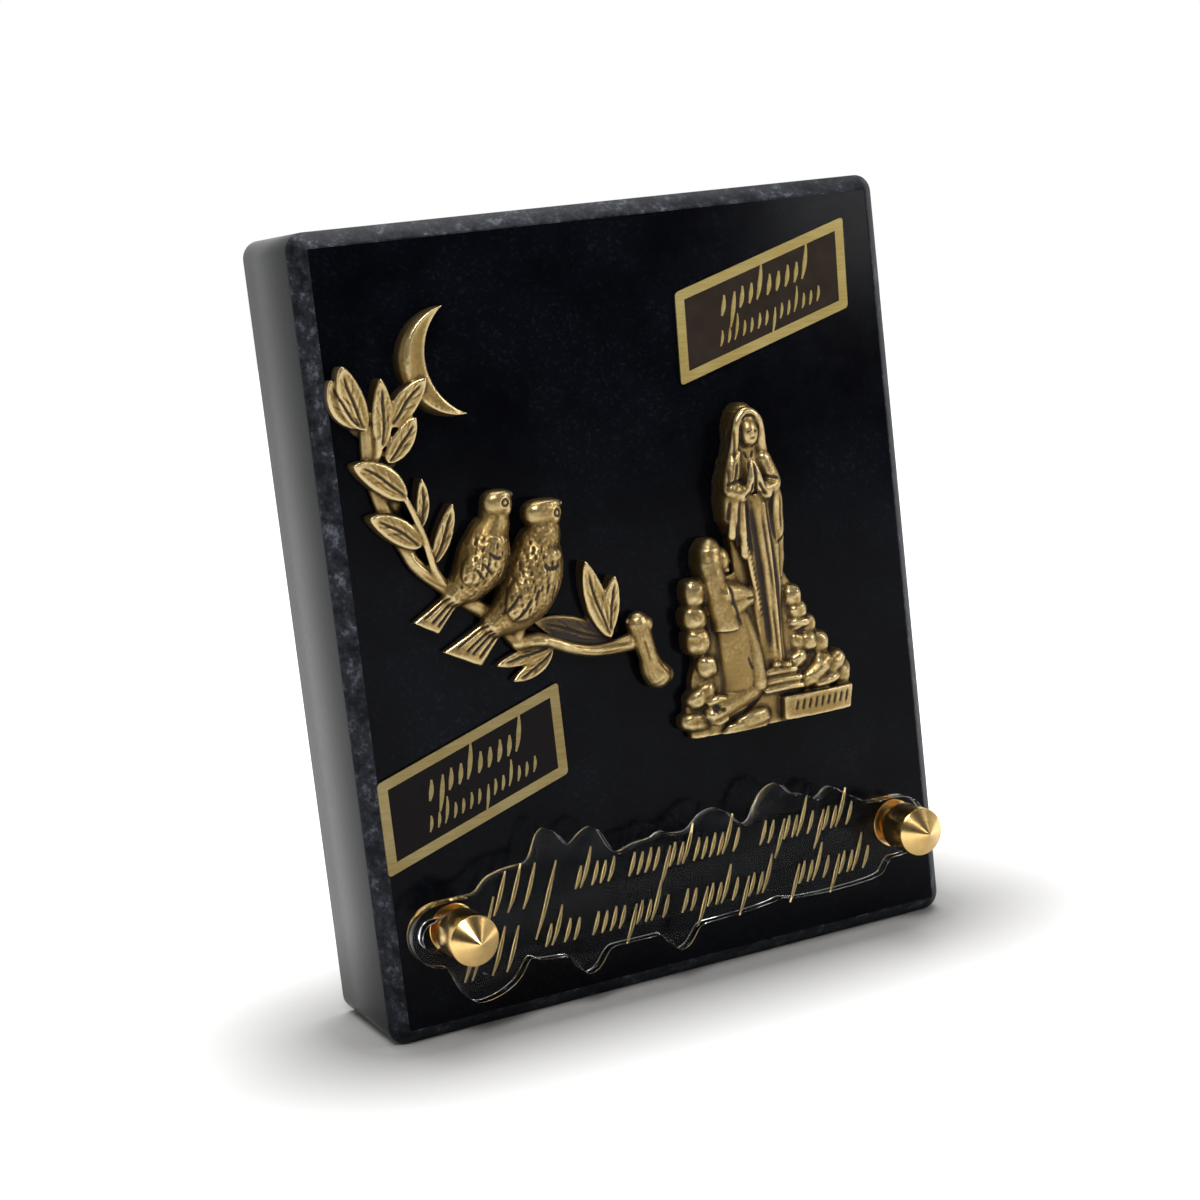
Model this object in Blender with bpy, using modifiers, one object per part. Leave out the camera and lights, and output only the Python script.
"""Memorial plaque: a polished granite slab that stands on its own underside.

Two bronze castings and two foil labels sit on its face, and two cone-headed brass screws
hold a clear contour-cut inscription plate off the stone on brass spacers.

Metres, +Z up. The origin is the middle of the slab's underside and the face looks along -Y.
The castings are drawn in millimetres on the face: x from its middle, z from its foot and
height out from the stone. The layout is made for a slab of LAYOUT_WIDTH by LAYOUT_HEIGHT, and
on a smaller one the castings and labels shrink to fit.
"""
import math

import bmesh
import bpy
from mathutils import Matrix, Vector

SEAT_GAP = 0.0003

SLAB_WIDTH = 0.121
SLAB_HEIGHT = 0.150
SLAB_THICKNESS = 0.030
SLAB_CORNER = 0.0034
SLAB_CHAMFER = 0.0029
BACK_EASE = 0.0006

LAYOUT_WIDTH = 0.121
LAYOUT_HEIGHT = 0.150

BRANCH_HEIGHT = 0.078
BRANCH_SIDE_MARGIN = 0.0027
BRANCH_RISE = 0.0089
FIGURE_HEIGHT = 0.0630
FIGURE_SIDE_MARGIN = 0.0188
FIGURE_FOOT = 0.0466

LABEL_WIDTH = 0.0377
LABEL_SIDE = 0.0175
LABEL_THICKNESS = 0.0004
LABEL_RISE = math.radians(17.9)
UPPER_LABEL_LEAN = math.radians(2.3)
UPPER_LABEL_MARGIN = 0.0286
UPPER_LABEL_DROP = 0.0219
LOWER_LABEL_MARGIN = 0.0216
LOWER_LABEL_LEVEL = 0.0476

SCREW_INSET = 0.0129
SCREW_LEVEL = 0.0215
HEAD_RADIUS = 0.0047
HEAD_LENGTH = 0.0068
CONE_LENGTH = 0.0033
SHANK_RADIUS = 0.0018
SHANK_DEPTH = 0.010
BORE_CLEARANCE = 0.0004
SPACER_LENGTH = 0.0033

PLATE_THICKNESS = 0.0030
PLATE_END_RADIUS = 0.0060
PLATE_STEP = 0.0010
PLATE_HOLE_RADIUS = 0.00285
PLATE_SLOT_LENGTH = 0.0044
PLATE_END_REACH = 0.0035

VOXELS_PER_CASTING = 182
BRANCH_KEEP = 0.053
FIGURE_KEEP = 0.041
CUTTER_DEPTH = 0.02
ROUND_STEPS = 32

FIT = min(SLAB_WIDTH / LAYOUT_WIDTH, SLAB_HEIGHT / LAYOUT_HEIGHT)
FACE_Y = -SLAB_THICKNESS / 2
SCREW_X = SLAB_WIDTH / 2 - SCREW_INSET
SPACER_BACK = SEAT_GAP
PLATE_BACK = SPACER_BACK + SPACER_LENGTH + SEAT_GAP
HEAD_BACK = PLATE_BACK + PLATE_THICKNESS + SEAT_GAP


def collection(name):
    """A new collection in the scene."""
    made = bpy.data.collections.new(name)
    bpy.context.scene.collection.children.link(made)
    return made


def material(name, colour, roughness, metallic=0.0, clear=0.0):
    """A plain Principled material."""
    made = bpy.data.materials.new(name)
    made.use_nodes = True
    shader = made.node_tree.nodes["Principled BSDF"]
    shader.inputs["Base Color"].default_value = (*colour, 1.0)
    shader.inputs["Roughness"].default_value = roughness
    shader.inputs["Metallic"].default_value = metallic
    shader.inputs["Transmission Weight"].default_value = clear
    return made


def add_object(name, data, group, finish=None):
    """Put a mesh or curve in the scene under a node's name."""
    made = bpy.data.objects.new(name, data)
    group.objects.link(made)
    if finish:
        data.materials.append(finish)
    return made


def mesh_from(bm, name):
    """Turn a bmesh into a mesh whose faces point out."""
    bmesh.ops.recalc_face_normals(bm, faces=bm.faces)
    mesh = bpy.data.meshes.new(name)
    bm.to_mesh(mesh)
    bm.free()
    return mesh


def boolean(target, cutter):
    """Cut a cutter out of a piece."""
    modifier = target.modifiers.new(cutter.name, "BOOLEAN")
    modifier.operation = "DIFFERENCE"
    modifier.solver = "EXACT"
    modifier.object = cutter


def hide_cutter(cutter):
    """Show a cutter as wire only."""
    cutter.hide_render = True
    cutter.display_type = "WIRE"


def turned(name, profile, group, finish, location):
    """Turn a profile of (radius, distance) pairs about an axis that points out of the face."""
    mesh = bpy.data.meshes.new(name)
    points = [(radius, 0.0, out) for radius, out in profile]
    closed = profile[0][0] > 0.0
    edges = [(i, i + 1) for i in range(len(points) - 1)]
    if closed:
        edges.append((len(points) - 1, 0))
    mesh.from_pydata(points, edges, [])
    made = add_object(name, mesh, group, finish)
    made.location = location
    made.rotation_euler = (math.radians(90.0), 0.0, 0.0)
    screw = made.modifiers.new("turn", "SCREW")
    screw.axis = "Z"
    screw.steps = ROUND_STEPS
    screw.render_steps = ROUND_STEPS
    screw.use_merge_vertices = True
    screw.merge_threshold = 0.00001
    screw.use_smooth_shade = False
    return made


def cylinder_cutter(name, radius, front, back, x, z, group):
    """A cutter along Y between two distances in front of the face."""
    bm = bmesh.new()
    bmesh.ops.create_cone(bm, cap_ends=True, segments=ROUND_STEPS, radius1=radius,
                          radius2=radius, depth=front - back)
    bm.transform(Matrix.Rotation(math.radians(90.0), 4, "X"))
    made = add_object(name, mesh_from(bm, name), group)
    made.location = (x, FACE_Y - (front + back) / 2, z)
    hide_cutter(made)
    return made


def granite_slab(group, cutters):
    """The slab: corners eased, a wide chamfer round the face and a drilled hole per screw."""
    bm = bmesh.new()
    bmesh.ops.create_cube(bm, size=1.0)
    bm.transform(Matrix.Translation((0.0, 0.0, SLAB_HEIGHT / 2))
                 @ Matrix.Diagonal((SLAB_WIDTH, SLAB_THICKNESS, SLAB_HEIGHT, 1.0)))
    corners = [e for e in bm.edges
               if abs(e.verts[0].co.y - e.verts[1].co.y) > SLAB_THICKNESS / 2]
    bmesh.ops.bevel(bm, geom=corners, offset=SLAB_CORNER, segments=5, profile=0.5,
                    affect="EDGES", clamp_overlap=True)
    for side, width in ((-1.0, SLAB_CHAMFER), (1.0, BACK_EASE)):
        rim = [e for e in bm.edges
               if all(v.co.y * side > SLAB_THICKNESS / 2 * 0.999 for v in e.verts)]
        bmesh.ops.bevel(bm, geom=rim, offset=width, segments=1, profile=0.5,
                        affect="EDGES", clamp_overlap=True)
    stone = material("black_granite", (0.012, 0.013, 0.018), 0.12)
    slab = add_object("granite_slab", mesh_from(bm, "granite_slab"), group, stone)
    for side, name in ((-1.0, "left_bore"), (1.0, "right_bore")):
        bore = cylinder_cutter(name, SHANK_RADIUS + BORE_CLEARANCE, SEAT_GAP,
                               -SHANK_DEPTH - 2 * SEAT_GAP, side * SCREW_X, SCREW_LEVEL, cutters)
        boolean(slab, bore)


def standoffs(group):
    """Two cone-headed screws, each with its spacer between the stone and the plate."""
    brass = material("turned_brass", (0.76, 0.52, 0.20), 0.25, metallic=1.0)
    bore = SHANK_RADIUS + BORE_CLEARANCE
    rim = HEAD_BACK + HEAD_LENGTH
    screw_profile = [(0.0, rim + CONE_LENGTH), (HEAD_RADIUS, rim), (HEAD_RADIUS, HEAD_BACK),
                     (SHANK_RADIUS, HEAD_BACK), (SHANK_RADIUS, -SHANK_DEPTH), (0.0, -SHANK_DEPTH)]
    spacer_top = SPACER_BACK + SPACER_LENGTH
    spacer_profile = [(bore, spacer_top), (HEAD_RADIUS, spacer_top), (HEAD_RADIUS, SPACER_BACK),
                      (bore, SPACER_BACK)]
    for side, word in ((-1.0, "left"), (1.0, "right")):
        place = (side * SCREW_X, FACE_Y, SCREW_LEVEL)
        turned(word + "_screw", screw_profile, group, brass, place)
        turned(word + "_spacer", spacer_profile, group, brass, place)


# Lobes of the plate's contour over the upper line of script and under the lower one. Each has
# its start, peak and end as shares of half the screws' spacing, its reach from the screws'
# level in metres and how pointed it is.
UPPER_LOBES = (
    (-0.889, -0.714, -0.269, 0.0094, 0.5), (-0.668, -0.597, -0.492, 0.0153, 0.8),
    (-0.523, -0.382, -0.334, 0.0136, 0.8), (-0.279, -0.168, 0.315, 0.0086, 0.5),
    (-0.147, -0.092, -0.040, 0.0097, 0.8), (0.025, 0.147, 0.248, 0.0117, 0.7),
    (0.309, 0.525, 0.836, 0.0091, 0.5), (0.313, 0.447, 0.521, 0.0138, 0.8),
    (0.462, 0.538, 0.630, 0.0109, 0.8), (0.637, 0.689, 0.773, 0.0109, 0.8))
LOWER_LOBES = (
    (-1.042, -0.945, -0.723, 0.0142, 0.7), (-0.718, -0.147, 0.408, 0.0099, 0.2),
    (-0.550, -0.481, -0.374, 0.0141, 0.8), (-0.143, -0.071, 0.029, 0.0140, 0.8),
    (0.401, 0.651, 0.912, 0.0097, 0.2))


def contour_reach(x, lobes):
    """How far the plate reaches above or below the screws' level at x."""
    reach = PLATE_END_RADIUS
    share = x / SCREW_X
    for start, peak, end, rise, point in lobes:
        if start < share < end:
            run = (share - start) / (peak - start) if share < peak else (end - share) / (end - peak)
            swell = math.sin(math.pi / 2 * run) ** point
            reach = max(reach, PLATE_END_RADIUS + (rise - PLATE_END_RADIUS) * swell)
    return reach


def half_turn(x, start):
    """A half circle of the plate's end radius about a point at the screws' level."""
    steps = ROUND_STEPS // 2
    angles = [start - math.pi * i / steps for i in range(1, steps)]
    return [(x + PLATE_END_RADIUS * math.cos(angle),
             SCREW_LEVEL + PLATE_END_RADIUS * math.sin(angle)) for angle in angles]


def plate_outline():
    """The plate's outline in (x, z): round ends on the screws and lobes round the script."""
    left_end = -SCREW_X - PLATE_END_REACH
    count = round((SCREW_X - left_end) / PLATE_STEP)
    xs = [left_end + (SCREW_X - left_end) * i / count for i in range(count + 1)]
    top = [(x, SCREW_LEVEL + contour_reach(x, UPPER_LOBES)) for x in xs]
    foot = [(x, SCREW_LEVEL - contour_reach(x, LOWER_LOBES)) for x in reversed(xs)]
    return top + half_turn(SCREW_X, math.pi / 2) + foot + half_turn(left_end, -math.pi / 2)


def slot_outline(centre, length):
    """A round hole, or a slot that runs from the hole towards the near end of the plate."""
    steps = ROUND_STEPS // 2
    points = []
    for shift, start in ((0.0, -0.5), (-length, 0.5)):
        for i in range(steps + (1 if length else 0)):
            angle = math.pi * (start + i / steps)
            points.append((centre + shift + PLATE_HOLE_RADIUS * math.cos(angle),
                           SCREW_LEVEL + PLATE_HOLE_RADIUS * math.sin(angle)))
    return points


def inscription_plate(group):
    """The clear plate: contour cut, with a slot over one screw and a hole over the other."""
    curve = bpy.data.curves.new("inscription_plate", "CURVE")
    curve.dimensions = "2D"
    curve.fill_mode = "BOTH"
    curve.extrude = PLATE_THICKNESS / 2
    outlines = (plate_outline(), slot_outline(-SCREW_X, PLATE_SLOT_LENGTH),
                slot_outline(SCREW_X, 0.0))
    for outline in outlines:
        spline = curve.splines.new("POLY")
        spline.points.add(len(outline) - 1)
        for point, (x, z) in zip(spline.points, outline):
            point.co = (x, z, 0.0, 1.0)
        spline.use_cyclic_u = True
    acrylic = material("clear_acrylic", (0.95, 0.96, 0.96), 0.03, clear=1.0)
    plate = add_object("inscription_plate", curve, group, acrylic)
    plate.rotation_euler = (math.radians(90.0), 0.0, 0.0)
    plate.location = (0.0, FACE_Y - PLATE_BACK - PLATE_THICKNESS / 2, 0.0)


def label(name, centre, lean, group, finish):
    """A foil label: upright ends and sloping long edges, turned a little by its lean."""
    bm = bmesh.new()
    bmesh.ops.create_cube(bm, size=1.0)
    bm.transform(Matrix.Diagonal((FIT * LABEL_WIDTH, LABEL_THICKNESS, FIT * LABEL_SIDE, 1.0)))
    for vert in bm.verts:
        vert.co.z += vert.co.x * math.tan(LABEL_RISE)
    made = add_object(name, mesh_from(bm, name), group, finish)
    made.location = (centre[0], FACE_Y - SEAT_GAP - LABEL_THICKNESS / 2, centre[1])
    made.rotation_euler = (0.0, lean, 0.0)


def labels(group):
    """The label by the upper right corner and the label over the left end of the plate."""
    foil = material("gold_foil", (0.62, 0.47, 0.18), 0.3, metallic=0.9)
    upper = (SLAB_WIDTH / 2 - FIT * UPPER_LABEL_MARGIN, SLAB_HEIGHT - FIT * UPPER_LABEL_DROP)
    lower = (-SLAB_WIDTH / 2 + FIT * LOWER_LABEL_MARGIN, FIT * LOWER_LABEL_LEVEL)
    label("upper_label", upper, UPPER_LABEL_LEAN, group, foil)
    label("lower_label", lower, 0.0, group, foil)


BRANCH_DRAWN = 78.0
FIGURE_DRAWN = 63.0
ROOT = -1.5


def spot(x, z, height):
    """A point of a casting's drawing, in millimetres."""
    return Vector((x, -height, z))


def loft(bm, rings):
    """Join closed rings of points into one capped body."""
    made = [[bm.verts.new(point) for point in ring] for ring in rings]
    count = len(rings[0])
    for near, far in zip(made, made[1:]):
        for i in range(count):
            j = (i + 1) % count
            bm.faces.new((near[i], near[j], far[j], far[i]))
    bm.faces.new(made[0])
    bm.faces.new(list(reversed(made[-1])))


def ball(bm, at, size, turn=0.0):
    """An ellipsoid at (x, z, height) with radii (across, up, out), turned in the face."""
    x, z, height = at
    across, up, out = size
    place = (Matrix.Translation(spot(x, z, height))
             @ Matrix.Rotation(-math.radians(turn), 4, "Y")
             @ Matrix.Diagonal((across, out, up, 1.0)))
    bmesh.ops.create_uvsphere(bm, u_segments=20, v_segments=12, radius=1.0, matrix=place)


def limb(bm, points, ends=True):
    """A round limb through (x, z, height, radius) points, with domed ends unless sawn off."""
    curve = bpy.data.curves.new("limb", "CURVE")
    curve.dimensions = "3D"
    curve.bevel_depth = 1.0
    curve.bevel_resolution = 3
    curve.resolution_u = 5
    curve.use_fill_caps = True
    spline = curve.splines.new("BEZIER")
    spline.bezier_points.add(len(points) - 1)
    for point, (x, z, height, radius) in zip(spline.bezier_points, points):
        point.co = spot(x, z, height)
        point.radius = radius
        point.handle_left_type = "AUTO"
        point.handle_right_type = "AUTO"
    guide = bpy.data.objects.new("limb", curve)
    bpy.context.scene.collection.objects.link(guide)
    graph = bpy.context.evaluated_depsgraph_get()
    mesh = bpy.data.meshes.new_from_object(guide.evaluated_get(graph))
    tube = bmesh.new()
    tube.from_mesh(mesh)
    bmesh.ops.remove_doubles(tube, verts=tube.verts, dist=0.001)
    tube.to_mesh(mesh)
    tube.free()
    bm.from_mesh(mesh)
    bpy.data.objects.remove(guide)
    bpy.data.curves.remove(curve)
    bpy.data.meshes.remove(mesh)
    if ends:
        for x, z, height, radius in (points[0], points[-1]):
            ball(bm, (x, z, height), (radius, radius, radius))


def almond(t):
    """Half width of a leaf along its length, as a share of its widest."""
    return math.sin(math.pi * t ** 0.85) ** 0.62


def fan(t):
    """Half width of a tail, opening towards its blunt end."""
    return 0.45 + 0.55 * t ** 1.3


def blade(bm, base, tip, width, shape=almond, bend=0.0, slant=0.0, crown=0.5, grooves=(0.0,),
          depth=0.35):
    """A leaf or tail of (x, z, height) ends that stands on the stone, with grooves along it."""
    start = Vector((base[0], base[1]))
    reach = Vector((tip[0], tip[1])) - start
    across = Vector((-reach.y, reach.x)).normalized()
    skew = reach.normalized() * slant
    steps, spread = 12, 12
    rings = []
    for i in range(steps + 1):
        t = i / steps
        half = max(width / 2 * shape(t), 0.12)
        middle = start + reach * t + across * bend * 4 * t * (1 - t)
        rise = base[2] + (tip[2] - base[2]) * t
        ring = []
        for j in range(spread + 1):
            v = 2 * j / spread - 1
            cut = sum(depth * math.exp(-((v - groove) / 0.13) ** 2) for groove in grooves)
            side = middle + across * half * v + skew * v * t
            ring.append(spot(side.x, side.y, rise + crown * (1 - v * v) - cut))
        for v in (1, -1):
            side = middle + across * half * v + skew * v * t
            ring.append(spot(side.x, side.y, ROOT))
        rings.append(ring)
    loft(bm, rings)


def between(sections, z):
    """Read (left, right, depth) at a height from sections of (z, left, right, depth)."""
    for low, high in zip(sections, sections[1:]):
        if z <= high[0]:
            break
    t = min(max((z - low[0]) / (high[0] - low[0]), 0.0), 1.0)
    ease = t * t * (3 - 2 * t)
    return [a + (b - a) * ease for a, b in zip(low[1:], high[1:])]


def cloth(bm, sections, square=0.5, folds=0, fold=0.0, step=1.5):
    """A draped body through sections of (z, left, right, depth), listed from the foot up."""
    foot, top = sections[0][0], sections[-1][0]
    count = max(2, round((top - foot) / step))
    spread = 24
    rings = []
    for i in range(count + 1):
        z = foot + (top - foot) * i / count
        left, right, depth = between(sections, z)
        ring = []
        for j in range(spread + 1):
            angle = math.pi * (1 - j / spread)
            x = (left + right) / 2 + (right - left) / 2 * math.cos(angle)
            height = depth * max(math.sin(angle), 0.0) ** square
            height -= fold * (0.5 + 0.5 * math.cos(2 * folds * angle)) * math.sin(angle)
            ring.append(spot(x, z, height))
        ring.append(spot(right, z, ROOT))
        ring.append(spot(left, z, ROOT))
        rings.append(ring)
    loft(bm, rings)


def crescent(bm, middle, radius, inner_radius, spread, lean, height):
    """A crescent moon: two arcs through the same tips, with a rounded outer edge."""
    cx, cz = middle
    half_chord = radius * math.sin(spread)
    shift = math.sqrt(inner_radius ** 2 - half_chord ** 2) - radius * math.cos(spread)
    inner_spread = math.asin(half_chord / inner_radius)
    steps = 20
    rings = []
    for i in range(steps + 1):
        t = -1 + 2 * i / steps
        outer = Vector((-radius * math.cos(spread * t), radius * math.sin(spread * t)))
        inner = Vector((shift - inner_radius * math.cos(inner_spread * t),
                        inner_radius * math.sin(inner_spread * t)))
        if abs(t) == 1:
            inner = outer + Vector((0.25, 0.0))
        ring = []
        for share, rise in ((0, ROOT), (0, 0.72 * height), (0.12, 0.93 * height),
                            (0.35, height), (0.9, height), (1, 0.9 * height), (1, ROOT)):
            point = outer.lerp(inner, share)
            x = point.x * math.cos(lean) - point.y * math.sin(lean)
            z = point.x * math.sin(lean) + point.y * math.cos(lean)
            ring.append(spot(cx + x, cz + z, rise))
        rings.append(ring)
    loft(bm, rings)


def bird(bm, spine, head, tail, slant, wing, shoulder):
    """A small perched bird: a round body on its spine, a flat-crowned head, tail and wing."""
    limb(bm, spine)
    x, z, height, radius = head
    ball(bm, (x, z, height), (radius * 1.1, radius, radius))
    ball(bm, (x, z + radius * 0.5, height), (radius * 1.05, radius * 0.5, radius * 0.9))
    limb(bm, ((x + radius * 0.4, z + radius * 0.3, height + radius * 0.3, radius * 0.5),
              (x + radius * 1.05, z + radius * 0.35, height + radius * 0.4, radius * 0.22)))
    blade(bm, *tail, shape=fan, slant=slant, crown=0.4, grooves=(-0.5, 0.0, 0.5))
    ball(bm, *wing)
    ball(bm, *shoulder)


def branch_drawing(bm):
    """The twig with its leaves, the crescent and the two birds."""
    crescent(bm, (-34.4, 124.5), 10.0, 11.7, math.radians(94.0), math.radians(7.5), 4.2)
    limb(bm, ((-27.4, 72.0, 1.6, 1.8), (-31.0, 76.5, 1.0, 1.6), (-36.0, 80.5, 1.0, 1.6),
              (-40.2, 83.9, 1.6, 1.5), (-44.9, 88.3, 1.6, 1.4), (-46.9, 92.0, 1.4, 1.3),
              (-49.6, 98.5, 1.2, 1.4), (-51.0, 104.0, 1.2, 1.4), (-51.6, 109.0, 1.3, 1.4),
              (-51.4, 114.5, 1.6, 1.3)))
    limb(bm, ((-40.6, 84.2, 2.0, 1.1), (-42.3, 87.5, 2.8, 0.8), (-43.0, 90.5, 3.2, 0.7),
              (-44.0, 94.5, 3.4, 0.7), (-45.5, 99.0, 3.6, 0.7), (-46.9, 102.2, 3.8, 0.6)))
    limb(bm, ((-51.6, 108.5, 1.4, 0.9), (-50.2, 109.5, 2.2, 0.9), (-49.6, 112.5, 2.8, 0.8)))
    limb(bm, ((-27.6, 71.5, 2.0, 1.5), (-23.6, 71.4, 2.2, 1.4), (-20.5, 70.2, 2.2, 1.4),
              (-17.0, 68.6, 2.0, 1.3), (-13.0, 67.5, 1.9, 1.2), (-9.0, 67.2, 1.9, 1.3),
              (-5.0, 67.6, 2.0, 1.7)))
    limb(bm, ((-2.7, 70.6, 2.0, 1.9), (-2.4, 67.0, 2.4, 2.2), (-1.6, 63.6, 2.4, 2.2),
              (-0.4, 61.2, 2.2, 2.5), (1.1, 58.8, 2.0, 3.0)), ends=False)
    ball(bm, (-2.3, 70.5, 2.0), (2.4, 1.8, 2.2))
    limb(bm, ((-2.6, 69.8, 2.2, 1.3), (-4.9, 71.6, 2.0, 0.7)))
    leaves = (
        ((-52.6, 114.6, 2.2), (-57.2, 123.8, 2.6), 4.0, 0.8),
        ((-51.9, 114.2, 2.8), (-55.3, 126.0, 4.0), 5.0, 0.3),
        ((-49.3, 110.6, 3.0), (-48.4, 123.0, 4.2), 3.9, -0.3),
        ((-47.2, 114.2, 3.2), (-40.2, 122.1, 4.9), 4.5, 0.2),
        ((-48.6, 107.9, 2.8), (-42.7, 115.4, 4.0), 4.2, -0.4),
        ((-46.2, 101.2, 3.8), (-55.3, 108.5, 4.0), 5.2, -0.7),
        ((-43.9, 95.4, 2.8), (-42.9, 104.3, 3.6), 2.7, -0.4),
        ((-44.6, 92.2, 3.6), (-53.5, 98.8, 3.9), 4.8, -0.5),
        ((-42.3, 88.4, 2.4), (-37.6, 99.0, 3.6), 3.4, -0.4),
        ((-8.8, 69.2, 2.4), (-12.9, 84.5, 3.6), 3.8, 0.3),
        ((-8.9, 70.2, 2.4), (-7.2, 80.8, 3.6), 3.1, 0.1),
        ((-8.2, 68.4, 1.2), (-23.6, 74.6, 1.3), 5.4, -0.2),
        ((-20.6, 69.8, 2.0), (-32.2, 67.8, 1.8), 3.2, 0.2),
        ((-20.8, 69.0, 2.0), (-29.3, 64.4, 1.8), 3.2, 0.7),
    )
    for base, tip, width, bend in leaves:
        blade(bm, base, tip, width, bend=bend)
    bird(bm, ((-29.4, 97.0, 3.4, 2.1), (-29.9, 94.6, 3.4, 2.1), (-30.7, 91.0, 3.5, 3.4),
              (-33.7, 88.0, 3.2, 4.5), (-36.4, 84.8, 2.6, 3.4), (-39.0, 82.3, 2.0, 2.1)),
         (-29.2, 97.8, 4.4, 2.7), ((-38.4, 82.4, 2.6), (-44.9, 77.0, 1.9), 4.9), -0.9,
         ((-34.2, 87.2, 5.6), (5.0, 2.8, 2.1), 46.0), ((-30.6, 90.8, 5.4), (2.8, 2.2, 1.8)))
    bird(bm, ((-20.4, 93.8, 3.6, 2.6), (-20.8, 91.2, 3.8, 2.8), (-21.9, 86.8, 3.6, 4.2),
              (-24.0, 82.0, 3.2, 5.2), (-27.6, 78.2, 2.8, 4.2), (-31.6, 75.9, 2.0, 2.8)),
         (-20.5, 94.6, 4.6, 3.2), ((-30.4, 76.6, 2.8), (-38.6, 70.4, 2.0), 6.4), -1.7,
         ((-25.2, 81.2, 6.4), (6.2, 3.3, 2.3), 52.0), ((-21.0, 86.4, 6.5), (3.4, 2.6, 1.9)))
    limb(bm, ((-27.4, 75.0, 3.0, 1.5), (-27.2, 71.8, 2.6, 0.9), (-22.6, 70.9, 2.8, 0.9)))


def rocks(bm, stones):
    """Boulders of (x, z, across, up, out, turn), each bedded in the back of the group."""
    for x, z, across, up, out, turn in stones:
        ball(bm, (x, z, out * 0.35), (across, up, out * 0.65), turn)
        ball(bm, (x, z, 0.0), (across * 0.96, up * 0.96, out * 0.6), turn)


def standing_figure(bm):
    """The veiled figure with joined hands, in a long mantle over a folded gown."""
    cloth(bm, ((54.0, 19.0, 30.0, 3.0), (75.0, 18.2, 28.8, 3.4), (92.0, 17.6, 28.4, 3.8),
               (105.0, 20.4, 25.8, 3.8)), square=0.3)
    cloth(bm, ((58.0, 22.2, 27.2, 4.8), (66.0, 21.2, 27.6, 5.0), (75.0, 20.4, 28.4, 5.4),
               (84.0, 19.2, 28.6, 5.8), (92.0, 19.0, 28.0, 6.0)), folds=4, fold=1.0)
    cloth(bm, ((74.5, 27.4, 29.8, 2.8), (79.5, 26.6, 30.2, 3.4), (86.0, 26.0, 30.0, 5.0),
               (90.5, 25.6, 29.8, 6.4), (94.0, 25.2, 28.8, 6.6), (99.0, 24.6, 27.0, 6.0)))
    cloth(bm, ((78.4, 21.2, 22.4, 4.4), (82.6, 19.0, 21.8, 4.8), (85.4, 17.5, 21.4, 5.2),
               (88.0, 16.5, 21.4, 5.8), (91.2, 16.4, 21.6, 6.6), (94.6, 16.9, 21.6, 6.4),
               (98.4, 18.1, 21.8, 6.0), (100.4, 19.2, 22.0, 5.8)), folds=2, fold=0.5)
    cloth(bm, ((88.0, 18.5, 27.5, 5.6), (93.0, 17.6, 28.2, 5.8), (97.0, 18.2, 27.4, 5.4),
               (101.0, 19.5, 25.9, 5.6), (104.0, 19.6, 26.2, 6.2), (106.4, 20.1, 26.2, 6.2),
               (108.2, 21.2, 25.4, 5.0), (109.6, 22.6, 24.6, 2.6)), square=0.6)
    ball(bm, (23.2, 104.0, 5.2), (1.9, 2.7, 2.3))
    ball(bm, (23.1, 106.3, 4.4), (2.9, 2.6, 2.7))
    for side in (-1, 1):
        limb(bm, ((23.0 + side * 2.7, 98.6, 5.2, 0.7), (23.1 + side * 2.6, 101.6, 6.0, 0.7),
                  (23.2 + side * 2.4, 104.6, 6.4, 0.75), (23.2 + side * 0.6, 107.6, 6.2, 0.9)))
        limb(bm, ((23.0 + side * 2.9, 98.8, 4.6, 1.7), (22.9 + side * 4.6, 92.9, 5.2, 1.6),
                  (22.6 + side * 1.6, 93.0, 6.4, 1.3)))
        limb(bm, ((22.5 + side * 1.3, 93.4, 6.8, 0.8), (22.4 + side * 0.3, 97.7, 7.4, 0.55)))
    folds = ((21.2, 89.5, 22.6, 61.0), (22.9, 89.8, 24.0, 60.0), (24.4, 86.5, 25.4, 60.0),
             (26.3, 83.0, 26.8, 62.0))
    for x, z, foot_x, foot_z in folds:
        limb(bm, ((x, z, 5.4, 0.5), ((x + foot_x) / 2, (z + foot_z) / 2, 5.1, 0.8),
                  (foot_x, foot_z, 4.6, 0.7)))
    hems = ((17.2, 91.6, 16.9, 87.4), (18.3, 91.8, 18.0, 85.8), (19.5, 92.0, 19.4, 83.4),
            (20.6, 92.0, 21.0, 80.0))
    for x, z, foot_x, foot_z in hems:
        limb(bm, ((x, z, 6.0, 0.7), (foot_x, foot_z, 5.0, 0.75)))
    ball(bm, (24.4, 58.6, 4.8), (1.1, 0.8, 1.6))
    ball(bm, (26.5, 58.3, 5.0), (1.2, 0.8, 1.8))


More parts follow.
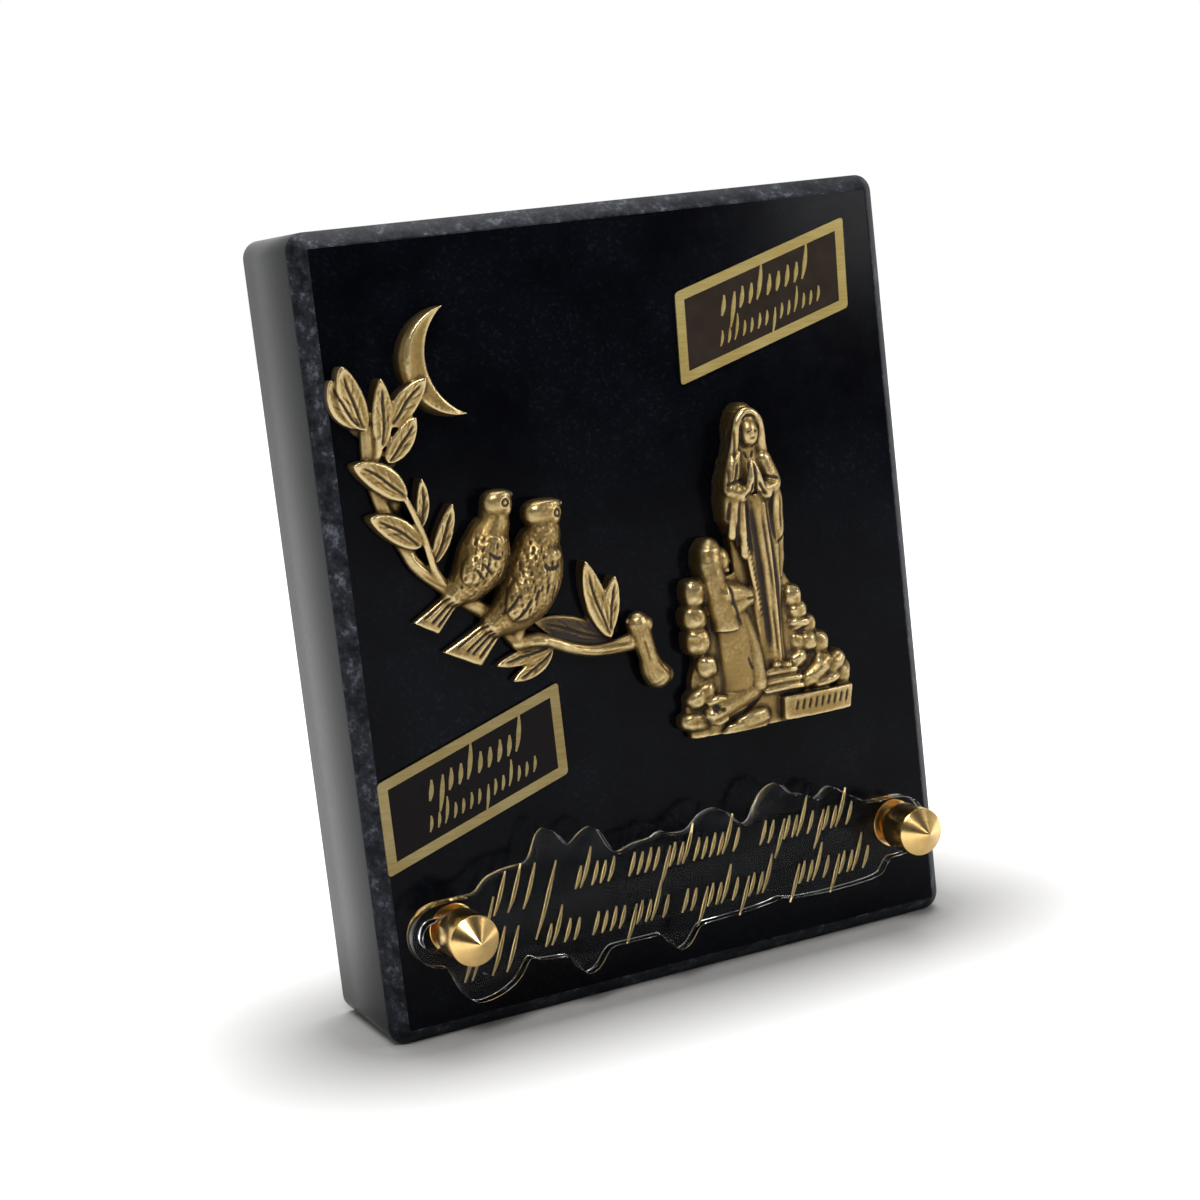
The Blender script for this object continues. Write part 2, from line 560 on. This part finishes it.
def kneeling_figure(bm):
    """The hooded figure that kneels in profile and lifts joined hands."""
    cloth(bm, ((49.4, 9.6, 13.0, 4.6), (51.2, 10.2, 18.0, 5.0), (53.2, 11.6, 20.8, 5.4),
               (57.0, 12.1, 21.0, 5.6), (62.0, 12.2, 20.6, 5.8), (69.0, 12.4, 19.0, 5.8),
               (76.0, 11.4, 16.6, 5.6)), square=0.4, folds=2, fold=0.7)
    cloth(bm, ((67.4, 11.2, 16.4, 6.6), (72.0, 11.0, 15.2, 6.5), (77.0, 10.6, 15.4, 6.3),
               (80.0, 10.3, 16.8, 6.0), (82.4, 10.8, 16.6, 5.6), (84.4, 12.0, 15.0, 4.0)),
          square=0.35)
    ball(bm, (15.5, 79.8, 4.0), (2.3, 2.6, 2.2))
    ball(bm, (17.3, 80.0, 4.0), (0.7, 0.7, 0.9))
    limb(bm, ((14.4, 74.8, 3.6, 2.9), (18.2, 74.2, 3.7, 2.2), (20.8, 72.6, 3.8, 1.5)))
    limb(bm, ((15.4, 70.0, 4.0, 2.2), (17.6, 72.2, 4.0, 1.7)))
    limb(bm, ((19.6, 68.6, 4.4, 1.0), (20.2, 62.0, 4.6, 1.1), (20.0, 55.0, 4.8, 1.2)))
    limb(bm, ((18.8, 54.4, 3.6, 2.3), (12.0, 52.0, 3.8, 2.2), (9.8, 51.0, 3.8, 1.9)))


def grotto(bm):
    """The ground under the group: stacked stones, thin ledges and a squared block."""
    cloth(bm, ((46.6, 5.8, 39.6, 2.6), (52.0, 5.0, 41.0, 3.0), (57.0, 6.8, 37.6, 3.0),
               (62.0, 8.6, 35.4, 2.8), (70.0, 7.2, 31.6, 2.6), (77.0, 8.8, 29.4, 2.2)), square=0.2)
    rocks(bm, ((9.4, 75.2, 1.9, 2.3, 5.2, 0.0), (8.6, 70.6, 2.1, 2.1, 5.4, 0.0),
               (8.7, 66.0, 2.3, 2.6, 5.4, 0.0), (10.2, 60.4, 1.9, 1.9, 4.6, 0.0),
               (8.6, 55.0, 3.2, 1.8, 4.8, 32.0), (6.9, 50.0, 2.9, 1.8, 4.4, -6.0),
               (11.2, 49.0, 1.9, 1.8, 5.0, 0.0), (30.2, 70.8, 1.8, 2.0, 4.8, 0.0),
               (31.0, 67.8, 2.0, 1.6, 4.8, 0.0), (31.2, 65.4, 2.4, 1.2, 5.0, 0.0),
               (33.2, 64.8, 1.7, 1.7, 4.4, 0.0), (30.4, 61.8, 1.9, 1.7, 4.6, 0.0),
               (32.7, 61.4, 1.8, 2.0, 5.0, 0.0), (35.3, 60.6, 1.9, 2.2, 4.6, 0.0),
               (29.6, 58.6, 2.1, 1.6, 5.6, 20.0), (33.2, 55.6, 4.0, 2.1, 6.2, 36.0),
               (37.4, 55.6, 3.2, 1.9, 5.6, -14.0), (39.2, 53.8, 2.3, 2.5, 5.2, 0.0),
               (35.2, 53.6, 3.2, 1.2, 6.4, 0.0), (18.6, 48.6, 3.8, 2.0, 5.4, 18.0)))
    for x, foot_x, z in ((20.6, 28.2, 56.8), (20.8, 29.2, 55.0), (22.0, 29.4, 53.4)):
        limb(bm, ((x, z, 4.2, 0.9), ((x + foot_x) / 2, z + 0.2, 4.6, 1.0), (foot_x, z, 4.8, 0.9)))
    cloth(bm, ((46.6, 11.6, 22.0, 4.6), (48.0, 12.4, 22.0, 4.9), (49.2, 15.6, 21.4, 4.6)),
          square=0.2)
    cloth(bm, ((47.2, 24.8, 39.9, 6.2), (51.8, 25.0, 40.6, 6.4)), square=0.12)


def casting(name, drawing, drawn_height, anchor, place, height, keep, group, cutters, finish):
    """Fuse a drawing's shapes into one casting, seat it on the stone and cut its back flat."""
    bm = bmesh.new()
    drawing(bm)
    scale = height / drawn_height
    bm.transform(Matrix.Translation((place[0], FACE_Y, place[1])) @ Matrix.Scale(scale, 4)
                 @ Matrix.Translation((-anchor[0], 0.0, -anchor[1])))
    made = add_object(name, mesh_from(bm, name), group, finish)
    fuse = made.modifiers.new("fuse", "REMESH")
    fuse.mode = "VOXEL"
    fuse.voxel_size = height / VOXELS_PER_CASTING
    soften = made.modifiers.new("soften", "SMOOTH")
    soften.factor = 0.5
    soften.iterations = 1
    thin = made.modifiers.new("thin", "DECIMATE")
    thin.ratio = keep
    back = bmesh.new()
    bmesh.ops.create_cube(back, size=1.0)
    back.transform(Matrix.Translation((0.0, FACE_Y - SEAT_GAP + CUTTER_DEPTH / 2, SLAB_HEIGHT / 2))
                   @ Matrix.Diagonal((2 * SLAB_WIDTH, CUTTER_DEPTH, 2 * SLAB_HEIGHT, 1.0)))
    cutter = add_object(name + "_back", mesh_from(back, name + "_back"), cutters)
    hide_cutter(cutter)
    boolean(made, cutter)


def castings(group, cutters):
    """The two bronzes."""
    bronze = material("patinated_bronze", (0.38, 0.26, 0.10), 0.35, metallic=1.0)

    def group_drawing(bm):
        grotto(bm)
        standing_figure(bm)
        kneeling_figure(bm)

    casting("bird_branch_ornament", branch_drawing, BRANCH_DRAWN, (-57.8, 56.5),
            (-SLAB_WIDTH / 2 + FIT * BRANCH_SIDE_MARGIN, FIT * (LOWER_LABEL_LEVEL + BRANCH_RISE)),
            FIT * BRANCH_HEIGHT, BRANCH_KEEP, group, cutters, bronze)
    casting("figure_group_ornament", group_drawing, FIGURE_DRAWN, (41.7, 46.6),
            (SLAB_WIDTH / 2 - FIT * FIGURE_SIDE_MARGIN, FIT * FIGURE_FOOT),
            FIT * FIGURE_HEIGHT, FIGURE_KEEP, group, cutters, bronze)


def main():
    """Build the whole plaque in an empty scene."""
    for old in list(bpy.data.objects):
        bpy.data.objects.remove(old)
    parts = collection("memorial_plaque")
    cutters = collection("cutters")
    granite_slab(parts, cutters)
    labels(parts)
    castings(parts, cutters)
    inscription_plate(parts)
    standoffs(parts)


main()
